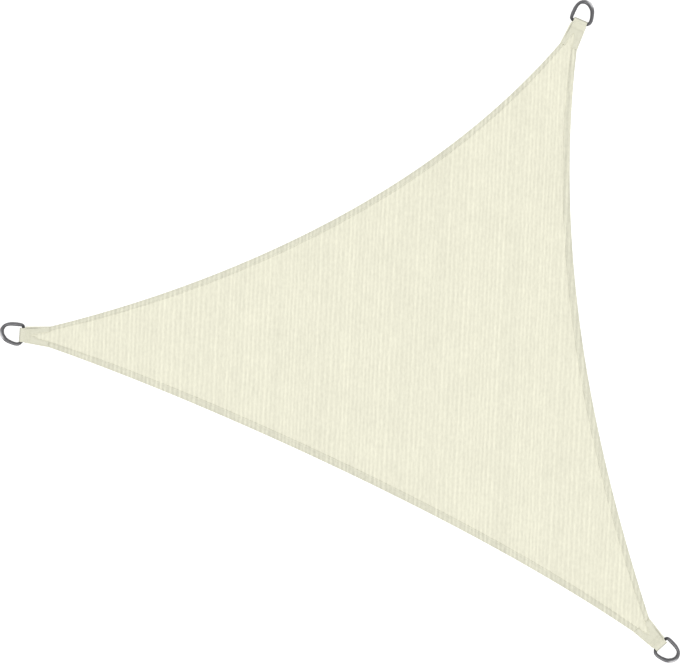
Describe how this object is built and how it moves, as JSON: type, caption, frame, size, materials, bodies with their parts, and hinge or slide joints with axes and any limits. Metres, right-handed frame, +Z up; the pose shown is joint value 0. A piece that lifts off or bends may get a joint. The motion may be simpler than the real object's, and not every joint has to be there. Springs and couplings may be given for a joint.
{
  "type": "triangular shade sail",
  "caption": "Triangular shade sail of cream ribbed knitted cloth, with hollow hemmed edges and a strap loop that holds a steel D-ring at each corner, laid out flat.",
  "frame": {"origin": "on the surface that the sail lies on, under the middle of the whole sail's box, rings included", "axes": "+X along the longest side of the box, from the left corner towards the other two; +Y towards the top corner, within 3 degrees of the cloth's ribs; +Z up, out of the face with the turned hem"},
  "size_m": [2.0386, 1.9852, 0.0142],
  "materials": {
    "cloth": "cream, ribbed knitted shade cloth, matt",
    "webbing": "cream woven strap, matt, a little darker than the cloth",
    "steel": "grey steel wire, smooth, with soft highlights"
  },
  "bodies": {
    "root": {"sail": "cloth", "strap_left": "webbing", "strap_right": "webbing", "strap_top": "webbing", "ring_left": "steel", "ring_right": "steel", "ring_top": "steel"}
  },
  "joints": []
}
